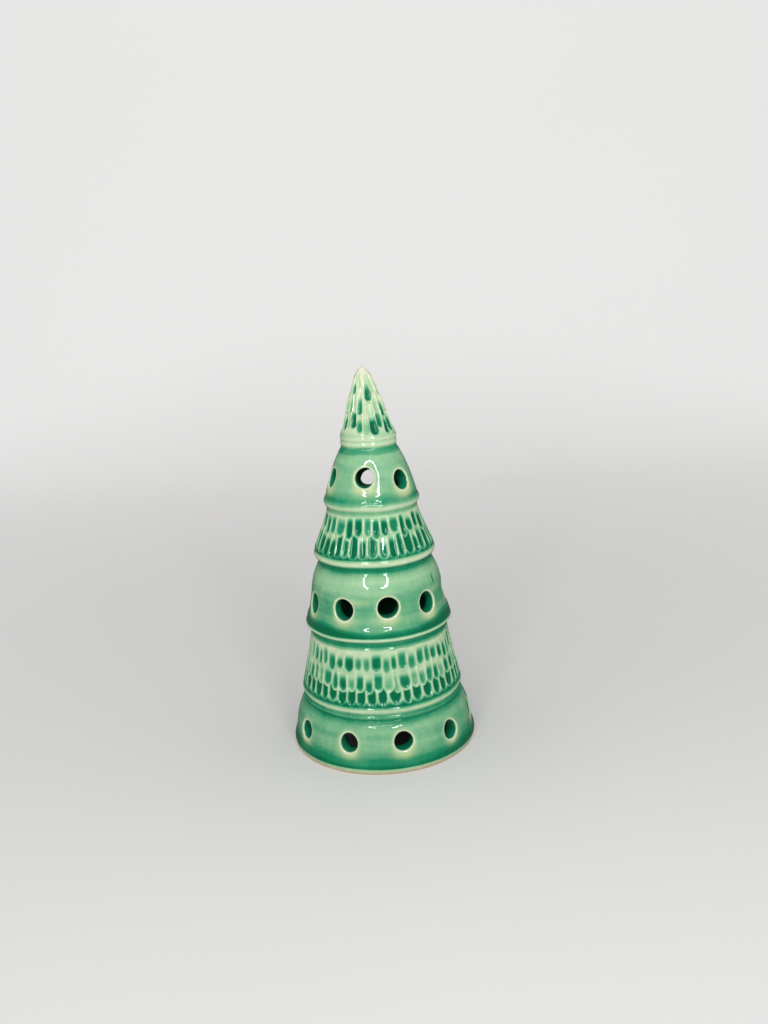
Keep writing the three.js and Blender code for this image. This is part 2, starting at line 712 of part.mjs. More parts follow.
// The battery door: a round flap, with a barrel and pins at its hinge and a latch tongue opposite
function batteryDoor() {
  const top = plateLift + doorThickness;
  const pinLength = hingeBarrelLength + 2 * hingePinReach;
  let body = cylinder(wellRadius - fit, plateLift, top, cupFaces, cellOffset);
  body = body.add(block([-hingeBarrelLength / 2, hingeOffset - hingeBarrelRadius - 2, plateLift],
    [hingeBarrelLength / 2, hingeOffset, top]));
  for (const [radius, length] of [[hingeBarrelRadius, hingeBarrelLength], [hingePinRadius, pinLength]]) {
    const round = new THREE.CylinderGeometry(radius, radius, length, 10).rotateZ(Math.PI / 2);
    body = body.add(solid(round.translate(0, hingeOffset, hingeLevel)));
  }
  body = body.add(block([-latchWidth / 2, latchEdge - latchReach, plateLift],
    [latchWidth / 2, latchEdge + 1.5, top - fit]));
  // finger-nail notch in the outside face
  body = body.subtract(block([-latchWidth / 3, latchEdge + 1.6, plateLift - 1],
    [latchWidth / 3, latchEdge + 3.2, plateLift + 0.5]));
  return geometryOf(body);
}

const luminary = new THREE.Group();
function place(name, geometry, color, roughness, metalness = 0) {
  const mesh = new THREE.Mesh(geometry, new THREE.MeshStandardMaterial({ color, roughness, metalness }));
  mesh.name = name;
  luminary.add(mesh);
}

const [glaze, charcoal, amber] = [0x4fae84, 0x2b2b2d, 0xf2cf93];
const [steel, brass, grey] = [0xc6c8cb, 0xcaa560, 0x9a9b9d];
const anodeEnd = [canRiser - stripLanding + leadLap, 0];
const cathodeEnd = [-leadPitch / 2, switchRiser + stripLanding - leadLap];
place('tree_shell', treeShell(), glaze, 0.12);
place('light_cup', lightCup(), charcoal, 0.45);
place('flame_lens', flameLens(), amber, 0.35);
place('lamp_bulb', lampBulb(), amber, 0.2);
place('anode_lead', lampLead(leadPitch / 2, anodeEnd), steel, 0.3, 1);
place('cathode_lead', lampLead(-leadPitch / 2, cathodeEnd), steel, 0.3, 1);
place('base_plate', basePlate(), charcoal, 0.5);
place('coin_cell', coinCell(), steel, 0.25, 1);
place('positive_contact', positiveContact(), brass, 0.3, 1);
place('negative_contact', negativeContact(), brass, 0.3, 1);
place('switch_contact', switchContact(), brass, 0.3, 1);
place('switch_blade', switchBlade(), brass, 0.3, 1);
place('switch_knob', switchKnob(), grey, 0.55);
place('battery_door', batteryDoor(), charcoal, 0.5);

export default luminary;
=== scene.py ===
"""Looks of the ceramic Christmas tree luminary: its glazed shell, its tea light, a studio and the camera."""

import math

import bpy
import numpy as np
from mathutils import Matrix, Vector


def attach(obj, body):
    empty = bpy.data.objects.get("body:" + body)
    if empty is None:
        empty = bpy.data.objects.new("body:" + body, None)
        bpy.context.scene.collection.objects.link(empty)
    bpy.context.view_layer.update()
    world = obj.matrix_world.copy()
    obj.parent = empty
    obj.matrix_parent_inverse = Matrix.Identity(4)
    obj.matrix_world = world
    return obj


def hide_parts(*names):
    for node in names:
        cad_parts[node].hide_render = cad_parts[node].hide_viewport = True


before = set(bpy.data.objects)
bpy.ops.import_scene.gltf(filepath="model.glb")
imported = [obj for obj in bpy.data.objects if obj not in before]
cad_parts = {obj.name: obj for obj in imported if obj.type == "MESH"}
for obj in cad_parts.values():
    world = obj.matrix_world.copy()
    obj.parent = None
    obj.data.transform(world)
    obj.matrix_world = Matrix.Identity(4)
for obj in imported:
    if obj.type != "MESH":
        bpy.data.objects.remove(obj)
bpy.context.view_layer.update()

MM = 0.001
TURN = 2 * math.pi

# Heights of the tree's thrown stages in millimetres, from the table up
FOOT_TIER = 23.0
BEADED_RING = 7.2
LOWER_ROWS = (7.3, 7.7, 10.0)
LIP = 6.0
WAIST_TIER = 27.2
COLLAR = 7.0
UPPER_ROWS = (9.2, 8.0)
CROWN_BAND = 7.2
CROWN_TIER = 21.6
NECK = 6.4
TIP_ROWS = (9.4, 9.0, 7.4)
TIP_POINT = 4.4

RING_BASE = FOOT_TIER
LOWER_BASE = RING_BASE + BEADED_RING
LIP_BASE = LOWER_BASE + sum(LOWER_ROWS)
WAIST_BASE = LIP_BASE + LIP
COLLAR_BASE = WAIST_BASE + WAIST_TIER
UPPER_BASE = COLLAR_BASE + COLLAR
BAND_BASE = UPPER_BASE + sum(UPPER_ROWS)
CROWN_BASE = BAND_BASE + CROWN_BAND
NECK_BASE = CROWN_BASE + CROWN_TIER
TIP_BASE = NECK_BASE + NECK
TIP_TOP = TIP_BASE + sum(TIP_ROWS)
HEIGHT = TIP_TOP + TIP_POINT
CAVITY_TOP = HEIGHT - 29.0

# Hand work, in millimetres
WALL = 5.0
HOLE_RADIUS = {"foot": 4.2, "waist": 4.65, "crown": 4.2}
RIM_RADIUS = 0.9          # rounding of a hole's outer edge
INNER_RIM = 0.3           # rounding of its edge inside
GOUGE_DEPTH = 0.88
TIP_GOUGE_DEPTH = 1.7
RIDGE = 0.27              # half width of the clay left between two gouges
TIP_RIDGE = 0.12
FLATNESS = 4.6            # how flat the bed of a gouge is
TIP_LEAN = 0.9
THUMB_HOLLOW = 0.68       # how far the thumb pressed in the waist over its lip
CROWN_DRAW = 0.16         # how far the crown draws in at its bead
FOOT_HOLE_HEIGHT = 13.8
WAIST_HOLE_HEIGHT = WAIST_BASE + 12.4
CROWN_HOLE_HEIGHT = CROWN_BASE + 9.6

# Bearing in degrees and drop in millimetres of each hole
FOOT_HOLES = (
    (-61.4, 1), (-23.2, 0), (12, -0.7), (47.2, 0.8), (82, 0.9), (118, 0.2), (155, -0.5), (191, 0.3),
    (228, 0.8), (264, 0.4),
)
WAIST_HOLES = (
    (-69.3, 1.8), (-29.2, 0.3), (9.2, -0.7), (47.4, 0.9), (88, 1.2), (128, 0.1), (169, -0.8), (209, 0.5),
    (250, 1.3),
)
CROWN_HOLES = ((-73, 0.4), (-8.2, -1.1), (49, 1.4), (114, 3.8), (182, 5.9), (234, 3.6))

# A nick in the waist that filled with glaze: bearing, height, radius of the wall, half width and half height
NICK = (61.3, 81.8, 29, 0.32, 1.5)

# Scoops of the tip's near half, cut again on its far half: bearing and half width in degrees, lowest and
# highest point in millimetres, and how much glaze pooled
TIP_SCOOPS = (
    (-82, 8, 149, 160, 0.6), (-66, 9, 150, 160, 1.1), (-52, 6, 151, 162, 0.4), (-36, 11, 151.2, 163, 1.2),
    (-18, 9, 149.2, 159, 0.8), (-1, 10, 148.4, 158, 0.45), (19, 12, 148, 160, 1.3), (35, 9, 151, 163, 0.9),
    (52, 10, 148.2, 159, 1.15), (71, 10, 148.4, 160, 1.3), (85, 7, 150, 160, 0.5),
    (-76, 11, 157, 167, 0.4), (-54, 11, 157.5, 168, 0.45), (-35, 8.5, 158, 170, 0.25),
    (-18, 10, 157, 170, 0.85), (-3, 6, 155, 168, 0.2), (14, 12, 156, 168, 0.22), (37, 11, 157.5, 169, 0.36),
    (58, 11, 155.5, 167, 0.95), (79, 11, 157.5, 168, 0.5),
    (-75, 14, 164.5, 173, 0.4), (-50, 13, 165.8, 174, 0.8), (-24, 14, 168.5, 175, 0.2),
    (13, 17, 162.5, 174.5, 1.0), (45, 15, 166, 174.5, 0.25), (75, 15, 164.8, 173.5, 0.5),
)

# Mesh of the shell
COLUMNS = 864             # round the outside; the inside has half
FINE_STEP = 0.26          # millimetres between rows outside, where there are beads and gouges
WALL_STEP = 0.5
CROWN_STEP = 0.4

# The block of cells that a hole replaces: half its height in millimetres, and half its columns
BLOCK_REACH = {"foot": 6.1, "waist": 6.8, "crown": 6.1}
HOLE_COLUMNS = {"foot": 22, "waist": 30, "crown": 50}


def smooth_step(low, high, value):
    t = np.clip((value - low) / (high - low), 0, 1)
    return t * t * (3 - 2 * t)


def wall(base, top, base_radius, top_radius, belly, rise=1.6):
    """A thrown wall as a function of height: a cone with a bulge, which sits higher the greater its rise."""
    def radius(z):
        t = np.clip((z - base) / (top - base), 0, 1)
        return base_radius + (top_radius - base_radius) * t + belly * np.sin(np.pi * t ** rise)
    return radius


foot_wall = wall(0.25 * FOOT_TIER, RING_BASE, 42.65, 37.6, 1.15, 1.3)
waist_wall = wall(WAIST_BASE, COLLAR_BASE, 34.1, 26.6, 1.1)
crown_wall = wall(CROWN_BASE, NECK_BASE, 21.15, 13.0, 0.75, 1.3)
lower_wall = wall(LOWER_BASE, LIP_BASE, 37.8, 32.4, -0.2)
upper_wall = wall(UPPER_BASE, BAND_BASE, 27.8, 21.0, -0.2)
tip_wall = wall(TIP_BASE, TIP_TOP, 12.5, 3.9, 0.4)


def bead(radius, relief, base, height):
    """[height, radius] points up a half-round bead."""
    return [(base + height * t, radius - relief * (1 - math.sin(math.pi * t))) for t in np.linspace(0, 1, 9)]


def up_wall(radius, base, top):
    return [(z, float(radius(z))) for z in np.linspace(base, top, 24)]


def waist_skin(z):
    """The waist wall, a little hollowed by the thumb over its lip."""
    return waist_wall(z) - THUMB_HOLLOW * smooth_step(WAIST_BASE + 2.6, WAIST_BASE + 5.8, z) \
        * (1 - smooth_step(WAIST_BASE + 11, WAIST_BASE + 23, z))


def crown_skin(z):
    """The crown wall, drawn in a little where it meets its bead."""
    return crown_wall(z) - CROWN_DRAW * (1 - smooth_step(CROWN_BASE + 0.2, CROWN_BASE + 3, z))


def outline():
    """The outside of the tree as [height, radius] points, gouged bands uncut."""
    return [
        (0, 42.5), (0.6, 42.9), (0.05 * FOOT_TIER, 43.27), (0.13 * FOOT_TIER, 43.6), (4.4, 43.3),
        *up_wall(foot_wall, 0.25 * FOOT_TIER, RING_BASE - 1),
        (RING_BASE, 36.6),
        *bead(37.8, 0.9, RING_BASE + 0.12 * BEADED_RING, 0.3 * BEADED_RING),
        *bead(38.1, 0.9, RING_BASE + 0.5 * BEADED_RING, 0.5 * BEADED_RING),
        *up_wall(lower_wall, LOWER_BASE + 0.4, LIP_BASE),
        (LIP_BASE + 0.22 * LIP, 31.7), (LIP_BASE + 0.5 * LIP, 31.9), (LIP_BASE + 0.72 * LIP, 33.7),
        (LIP_BASE + 0.8 * LIP, 34.4), (LIP_BASE + 0.92 * LIP, 34.4),
        *up_wall(waist_skin, WAIST_BASE, COLLAR_BASE - 0.5),
        (COLLAR_BASE + 0.12 * COLLAR, 26.1), (COLLAR_BASE + 0.38 * COLLAR, 26.3),
        *bead(28.1, 0.9, COLLAR_BASE + 0.45 * COLLAR, 0.55 * COLLAR),
        *up_wall(upper_wall, UPPER_BASE + 0.4, BAND_BASE),
        (BAND_BASE + 0.2 * CROWN_BAND, 20.6), (BAND_BASE + 0.36 * CROWN_BAND, 20.8),
        *bead(21.9, 0.9, BAND_BASE + 0.42 * CROWN_BAND, 0.58 * CROWN_BAND),
        *up_wall(crown_skin, CROWN_BASE + 0.3, NECK_BASE - 1.2),
        (NECK_BASE - 0.2, 13.02), (NECK_BASE + 0.4, 12.66), (NECK_BASE + 1, 12.4),
        *bead(12.8, 0.5, NECK_BASE + 0.24 * NECK, 0.36 * NECK),
        *bead(12.8, 0.5, TIP_BASE - 0.36 * NECK, 0.36 * NECK),
        *up_wall(tip_wall, TIP_BASE + 0.4, TIP_TOP),
        (TIP_TOP + 0.5 * TIP_POINT, 2.35), (TIP_TOP + 0.85 * TIP_POINT, 1.2), (HEIGHT, 0.4),
    ]


def blur(values, sigma, axis=0, wrap=False):
    """Gaussian blur along one axis, sigma in samples."""
    reach = max(1, int(3 * sigma))
    weights = np.exp(-0.5 * (np.arange(-reach, reach + 1) / sigma) ** 2)
    weights /= weights.sum()
    pad = [(0, 0)] * values.ndim
    pad[axis] = (reach, reach)
    padded = np.pad(values, pad, mode="wrap" if wrap else "edge")
    out = np.zeros_like(values)
    for i, weight in enumerate(weights):
        window = [slice(None)] * values.ndim
        window[axis] = slice(i, i + values.shape[axis])
        out += weight * padded[tuple(window)]
    return out


def smooth_profile(points, step, sigma):
    """Radius at even heights, with the corners softened as slip and glaze soften them."""
    heights = np.arange(0, HEIGHT + 1e-6, step)
    z, r = np.array(points).T
    return heights, blur(np.interp(heights, z, r), sigma / step)


PROFILE_STEP = 0.05
CORNER_MELT = 0.3
PROFILE_Z, PROFILE_R = smooth_profile(outline(), PROFILE_STEP, CORNER_MELT)


def inside_radius(z):
    """The cavity, thrown smooth behind the recesses."""
    turns = [
        (0, 37.5), (RING_BASE + 3, 33.2), (LIP_BASE + 2, 28.3), (COLLAR_BASE + 2, 22.7),
        (BAND_BASE + 2, 17.2), (NECK_BASE - 6, 11.4), (NECK_BASE, 8.8),
        (NECK_BASE + 5, 4.2), (CAVITY_TOP, 0.4),
    ]
    step, melt = 0.5, 2.5
    heights, radii = np.array(turns).T
    fine = np.arange(0, CAVITY_TOP + step, step)
    return np.interp(z, fine, blur(np.interp(fine, heights, radii), melt / step))


def uneven(kind, n):
    """A repeatable unevenness between -0.5 and 0.5 for the n-th mark of a kind."""
    wild = np.sin(kind * 127.1 + n * 311.7) * 43758.5453
    return wild - np.floor(wild) - 0.5


def holes():
    """Bearing, height and tier of every hole."""
    rows = ((FOOT_HOLES, FOOT_HOLE_HEIGHT, "foot"), (WAIST_HOLES, WAIST_HOLE_HEIGHT, "waist"),
            (CROWN_HOLES, CROWN_HOLE_HEIGHT, "crown"))
    return [(math.radians(bearing), height - drop, tier)
            for marks, height, tier in rows for bearing, drop in marks]


def row_heights(stretches):
    """Heights of rows of points, from [bottom, top, step] stretches."""
    return np.concatenate([np.linspace(low, high, max(1, round((high - low) / step)), endpoint=False)
                           for low, high, step in stretches])


def swell(bearing, seed, waves):
    """A smooth unevenness round the tree, about -1 to 1, with the given numbers of waves."""
    turns = [np.sin(n * bearing + 9.7 * seed + 2.3 * n) / (1 + 0.25 * k) for k, n in enumerate(waves)]
    return sum(turns) / len(waves) ** 0.5


class Gouges:
    """The scoops of all three bands: how deep they cut, how thick glaze pools in them and where ridges run."""

    def __init__(self, z, radius):
        self.z, self.radius = z, radius
        self.cut, self.pool, self.ridge, self.scooped = (np.zeros_like(radius) for _ in range(4))

    def row(self, base, top, count, tones, fade, seed, ragged=0.6, heel=1.3, slant=0.2, end=0.25, pale=0.2):
        """Cuts one row of scoops over those under it.

        Tones are the least and most glaze pooled in a scoop, fully dark from 1 up. Fade is how far up a
        scoop the glaze starts to thin, and pale is what it thins to. Heel is how long its rounded lower
        end is, and end the share of its depth left at its top. Ragged and slant are how unevenly the
        scoops start and lean.
        """
        pitch = TURN / count
        draw = np.random.default_rng(seed)
        lows_at = (np.arange(count) + draw.random() + 0.45 * (draw.random(count) - 0.5)) * pitch
        pools = tones[0] + (tones[1] - tones[0]) * draw.random(count)
        tops_at = lows_at + slant * (draw.random(count) - 0.5) * pitch
        lows = base - ragged * (draw.random(count) ** 2 * 1.5 - 0.4)
        tops = top + 0.8 * (draw.random(count) - 0.5)
        depths = GOUGE_DEPTH * (1 + 0.35 * (draw.random(count) - 0.5))
        fades = fade + 0.3 * (draw.random(count) - 0.5)
        ridges = RIDGE * (0.7 + 0.9 * draw.random(count))
        for k in range(count):
            after = (k + 1) % count
            lap = TURN if after == 0 else 0
            sides = (lows_at[k], lows_at[after] + lap, tops_at[k], tops_at[after] + lap)
            self.scoop(sides, lows[k], tops[k], depths[k], heel, end, pools[k], fades[k], pale, ridges[k])

    def facets(self):
        """The bold scoops of the tip."""
        lean_share, depth_share = 1.3, 0.7
        heel, end, fade, pale = 1.0, 0.4, 0.32, 0.16
        for n, (bearing, half, low, high, pool) in enumerate(TIP_SCOOPS + TIP_SCOOPS):
            middle = math.radians(bearing + (180 if n >= len(TIP_SCOOPS) else 0))
            reach = math.radians(half)
            lean = reach * lean_share * uneven(3, n)
            width = reach * float(np.interp(low, PROFILE_Z, PROFILE_R))
            depth = min(TIP_GOUGE_DEPTH, depth_share * width)
            sides = (middle - reach, middle + reach, middle - reach + lean, middle + reach + lean)
            self.scoop(sides, low, high, depth, heel, end, pool, fade, pale, TIP_RIDGE)

    def scoop(self, sides, low, high, depth, heel, end, pool, fade, pale, ridge):
        """One scoop: rounded at its lower end, then a long U that gets shallow towards its top."""
        rows = np.flatnonzero((self.z > low) & (self.z < high))
        first, last = (edge / TURN * COLUMNS for edge in (min(sides), max(sides)))
        columns = np.arange(math.floor(first), math.ceil(last) + 1)
        patch = np.ix_(rows, columns % COLUMNS)
        z = self.z[rows][:, None]
        t = (z - low) / (high - low)
        left = sides[0] * (1 - t) + sides[2] * t
        right = sides[1] * (1 - t) + sides[3] * t
        radius = self.radius[patch][:, :1]
        half = 0.5 * (right - left) * radius
        x = (columns[None, :] * TURN / COLUMNS - 0.5 * (left + right)) * radius
        heel_height = heel * half
        under = np.clip((low + heel_height - z) / heel_height, 0, 1)
        across = np.hypot(x / half, under)
        bed = np.clip(across * half / (half - ridge), 0, 1)
        along = 1 - (1 - end) * smooth_step(0.3, 1.0, t)
        cut = depth * along * (1 - bed ** FLATNESS)
        tone = pale + (pool - pale) * (1 - smooth_step(fade, fade + 0.42, t)) * (1 - 0.3 * bed ** 3)
        within = across < 1
        ridged = smooth_step(0.72, 1, bed)
        fields = ((self.cut, cut), (self.pool, tone), (self.ridge, ridged), (self.scooped, 1.0))
        for field, value in fields:
            field[patch] = np.where(within, value, field[patch])

    def soften(self, base, top, melt):
        """Rounds the ridges of one band as the glaze rounds them, more where it melted more."""
        near = (self.z > base - 3) & (self.z < top + 3)
        across = TURN * float(np.median(self.radius[near])) / COLUMNS
        for field, share in ((self.cut, 0.9), (self.pool, 1.4), (self.ridge, 0.9)):
            reach = share * melt
            field[near] = blur(blur(field[near], reach / FINE_STEP), max(0.6, reach / across), 1, wrap=True)


# How thick the glaze ran on the plain clay, as a base and [rise over it, thickness] marks: thin on each bead
# and lip, thick under them
GLAZE_RUN = (
    (0, ((0, 0.2), (2.6, 0.3), (3.4, 0.74), (6.2, 0.74), (8, 0.63), (9.6, 0.54), (12, 0.44), (14, 0.42),
         (16.5, 0.5), (19, 0.42), (21, 0.46), (22.3, 0.6))),
    (RING_BASE, ((0.4, 0.8), (1.3, 0.6), (2, 0.6), (2.9, 0.66), (3.6, 0.48), (4.4, 0.2), (5.5, 0.2),
                 (6.2, 0.46), (6.8, 0.75))),
    (LOWER_BASE, ((0, 0.92), (1, 0.85), (3, 0.2))),
    (LIP_BASE, ((-3, 0.08), (-0.9, 0.1), (0.4, 0.46), (1.4, 0.74), (3.4, 0.68), (4.3, 0.42), (4.9, 0.16),
                (5.5, 0.16), (6.1, 0.6))),
    (WAIST_BASE, ((3, 0.62), (6, 0.52), (8, 0.48), (10, 0.56), (14.6, 0.56), (16.2, 0.5), (17.4, 0.5),
                  (20, 0.36), (24, 0.3))),
    (COLLAR_BASE, ((-1.2, 0.36), (0, 0.5), (1, 0.74), (2.6, 0.8), (3.6, 0.62), (4.3, 0.16), (5.2, 0.1),
                   (6.2, 0.3), (6.8, 0.6))),
    (UPPER_BASE, ((0.4, 0.9), (1.4, 0.75), (3, 0.2))),
    (BAND_BASE, ((-2.6, 0.1), (0.3, 0.12), (1.3, 0.36), (2.6, 0.48), (3.2, 0.34), (3.9, 0.14))),
    (CROWN_BASE, ((-2.4, 0.12), (-1.5, 0.4), (-0.2, 0.6), (1, 0.64), (3, 0.52), (5, 0.42), (14, 0.42),
                  (17, 0.36), (20, 0.4))),
    (NECK_BASE, ((-1.4, 0.58), (-0.2, 0.66), (1, 0.66), (1.9, 0.28), (2.6, 0.14), (3.9, 0.24), (5, 0.14))),
    (TIP_BASE, ((0.2, 0.26), (2, 0.2), (14, 0.12))),
    (TIP_TOP, ((0, 0.02),)),
    (HEIGHT, ((0, -0.05),)),
)


class Skin:
    """A grid of the tree's outside: its radius and its glaze at every bearing and height."""

    def __init__(self):
        self.z = row_heights((
            (0, RING_BASE - 1, WALL_STEP), (RING_BASE - 1, WAIST_BASE + 0.6, FINE_STEP),
            (WAIST_BASE + 0.6, COLLAR_BASE - 0.6, WALL_STEP), (COLLAR_BASE - 0.6, BAND_BASE + 1, FINE_STEP),
            (BAND_BASE + 1, NECK_BASE - 0.6, CROWN_STEP), (NECK_BASE - 0.6, HEIGHT, FINE_STEP)))
        self.bearing = np.arange(COLUMNS) * TURN / COLUMNS
        b, z = np.meshgrid(self.bearing, self.z)
        radius = np.interp(z, PROFILE_Z, PROFILE_R)
        self.gouges = self.cut_gouges(radius)
        ripple = 0.004 * np.sin(1.9 * z + 0.9 * np.sin(b) + 1.5 * np.sin(0.31 * z))
        ledge = 0.06 * np.exp(-((z - WAIST_BASE - 16.3 - 0.5 * np.sin(b)) / 1.6) ** 2)
        hand = 0.16 * np.sin(2 * b + 0.04 * z) + 0.08 * np.sin(3 * b - 0.07 * z + 1)
        taper = np.clip((HEIGHT - z) / 30, 0, 1) * np.clip(z / 6, 0, 1)
        self.radius = radius - self.gouges.cut + (ripple + ledge + hand) * taper
        self.warm = self.warm_halos(b, z)
        self.glaze = self.pool_glaze_and_side_shade(b, z)
        self.warm *= 1 - 0.8 * smooth_step(0.5, 0.85, self.glaze)

    def cut_gouges(self, radius):
        """Three rows of scoops in the lower band, two in the upper band and the bold ones of the tip."""
        cut = Gouges(self.z, radius)
        base = LOWER_BASE
        cut.row(base + 0.2, base + 9.2, 46, (1.1, 1.3), 0.95, 3801, ragged=0.3, heel=1.5, end=0.6)
        cut.row(base + 6.4, base + 16.5, 52, (0.5, 1.0), 0.42, 16337, ragged=0.9, slant=0.5)
        cut.row(base + 14.9, base + 24.6, 50, (0.45, 1.12), 0.5, 1421, ragged=1.4, end=0.1, pale=0.12)
        cut.soften(LOWER_BASE, LIP_BASE, 0.33)
        base = UPPER_BASE
        cut.row(base + 0.4, base + 11, 38, (0.9, 1.3), 0.6, 6461, ragged=0.7, end=0.5)
        cut.row(base + 9.4, base + 18, 32, (0.75, 1.3), 0.6, 24188, ragged=1.8, end=0.1)
        cut.soften(UPPER_BASE, BAND_BASE, 0.34)
        cut.facets()
        cut.soften(TIP_BASE, TIP_TOP, 0.2)
        return cut

    def warm_halos(self, b, z):
        """Where the glaze ran thin below and round the holes and the clay's warmth shows."""
        warm = np.zeros_like(b)
        for n, (bearing, height, tier) in enumerate(holes()):
            radius = float(np.interp(height, PROFILE_Z, PROFILE_R))
            x = (np.mod(b - bearing + math.pi, TURN) - math.pi) * radius
            y = z - height
            strength = 0.9 + 0.5 * uneven(5, n)
            warm += strength * np.exp(-((x / 4.6) ** 2 + ((y + 5.0) / 2.6) ** 2))
            warm += 0.42 * strength * np.exp(-((np.hypot(x, y) - 4.6) / 1.3) ** 2)
        ledge = np.clip(swell(b, 1, (2, 3, 5, 9)), 0, 1) * np.exp(-((z - WAIST_BASE - 15.8) / 1.6) ** 2)
        return np.clip(warm + 0.6 * ledge, 0, 1)

    def pool_glaze_and_side_shade(self, b, z):
        """Glaze thickness from 0, thin on edges, to 1, pooled in recesses and over each lip, and thicker
        towards the left and right sides as painted shade.
        """
        marks = [(base + rise, depth) for base, run in GLAZE_RUN for rise, depth in run]
        heights, thickness = np.array(marks).T
        glaze = np.interp(z + 0.15 * swell(b, 2, (2, 5, 8)), heights, thickness)
        # the deep pools: lowest, highest, how far the edge wanders and how thick; each edge also rises towards
        # the left and right sides, partly real pooling and partly painted shade
        pools = ((2.5, 8.2, 0.5, 0.9), (WAIST_BASE, WAIST_BASE + 5.4, 0.5, 1.0),
                 (CROWN_BASE - 0.4, CROWN_BASE + 2.8, 0.4, 0.74))
        for base, top, wander, depth in pools:
            edge = top + wander * (swell(b, base, (3, 7, 12)) - 2.4 * np.cos(2 * b))
            pool = depth * (1 - smooth_step(edge - 4.4, edge + 3.4, z))
            pool = pool * smooth_step(base - 0.3, base + 0.5, z)
            glaze = np.where(z < top + 8, np.maximum(glaze, pool), glaze)
        glaze = glaze - 0.2 * self.warm
        # a little more glaze all round and most at the left and right sides, where the extra is painted shade
        glaze = glaze + (0.07 - 0.04 * np.cos(2 * b)) * smooth_step(0.15, 0.4, glaze)
        # the ridges between the gouges, where the glaze broke pale
        pale_crest_and_tip_highlight = 0.17 + 0.08 * swell(b, 7, (7, 11, 19)) * np.sin(0.9 * z)
        # on the tip the ridges go near white, partly glaze broken thin and partly a painted highlight
        pale_crest_and_tip_highlight = pale_crest_and_tip_highlight - 0.16 * smooth_step(TIP_BASE, TIP_BASE + 3, z)
        for base in (LOWER_BASE, UPPER_BASE):
            pale_crest_and_tip_highlight += 0.6 * (1 - smooth_step(base + 0.4, base + 2.6, z)) * (z > base - 3)
        carved = self.gouges.pool + (pale_crest_and_tip_highlight - self.gouges.pool) * self.gouges.ridge
        bearing, height, radius, wide, tall = NICK
        nick = np.exp(-((b - math.radians(bearing)) * radius / wide) ** 2 - ((z - height) / tall) ** 2)
        return np.where(self.gouges.scooped > 0, carved, glaze) + nick

    def sample(self, field, bearing, z):
        """Reads a field between its grid points."""
        column = np.mod(bearing / TURN * COLUMNS, COLUMNS)
        row = np.clip(np.interp(z, self.z, np.arange(len(self.z))), 0, len(self.z) - 1.001)
        j, i = np.floor(column).astype(int), np.floor(row).astype(int)
        fj, fi = column - j, row - i
        k = (j + 1) % COLUMNS
        j = j % COLUMNS
        low = field[i, j] * (1 - fj) + field[i, k] * fj
        high = field[i + 1, j] * (1 - fj) + field[i + 1, k] * fj
        return low * (1 - fi) + high * fi


def place(bearing, radius, z):
    """Points in millimetres, with the tip's lean."""
    lean = TIP_LEAN * np.clip((z - TIP_BASE) / (HEIGHT - TIP_BASE), 0, 1)
    return np.stack([radius * np.sin(bearing) - lean, -radius * np.cos(bearing), z], -1)


class Clay:
    """Collects the vertices, tints and faces of the shell. A tint is glaze thickness, warmth and bareness."""

    def __init__(self):
        self.points, self.tints, self.faces, self.count = [], [], [], 0

    def add(self, points, glaze, warm=0.0, bare=0.0):
        shape = points.shape[:-1]
        tint = np.stack([np.broadcast_to(v, shape) for v in (glaze, warm, bare)], -1)
        self.points.append(points.reshape(-1, 3))
        self.tints.append(tint.reshape(-1, 3))
        number = points.size // 3
        index = np.arange(self.count, self.count + number).reshape(shape)
        self.count += number
        return index

    def quads(self, a, b, c, d):
        self.faces.extend(np.stack([a, b, c, d], -1).reshape(-1, 4).tolist())

    def strip(self, outer, inner):
        """Joins two closed loops of the same count."""
        self.quads(outer, np.roll(outer, -1), np.roll(inner, -1), inner)

    def halve(self, fine, coarse):
        """Joins a closed loop to one with half as many points."""
        a, b, c = fine[0::2], fine[1::2], np.roll(fine[0::2], -1)
        self.faces.extend(np.stack([a, b, c, np.roll(coarse, -1), coarse], -1).tolist())

    def fan(self, loop, pole):
        self.faces.extend(np.stack([loop, np.roll(loop, -1), np.full_like(loop, pole)], -1).tolist())


def block_loop(index, block):
    """The grid points round a block of cells, anticlockwise seen from outside, from its lower left corner."""
    low, high, column, half_columns = block
    rows = np.arange(low, high + 1)
    columns = np.arange(column - half_columns, column + half_columns + 1) % index.shape[1]
    return np.concatenate([index[rows[0], columns[:-1]], index[rows[:-1], columns[-1]],
                           index[rows[-1], columns[:0:-1]], index[rows[:0:-1], columns[0]]])


def on_wall(centre, across, up, axis, u, v, radius_at):
    """Points of a wall that lie at u and v off an axis, found along that axis."""
    point = centre + u[..., None] * across + v[..., None] * up
    for _ in range(12):
        bearing = np.arctan2(point[..., 0], -point[..., 1])
        miss = np.hypot(point[..., 0], point[..., 1]) - radius_at(bearing, point[..., 2])
        point = point - 0.9 * miss[..., None] * axis
    return point


def polar(point):
    return np.arctan2(point[..., 0], -point[..., 1]), point[..., 2]


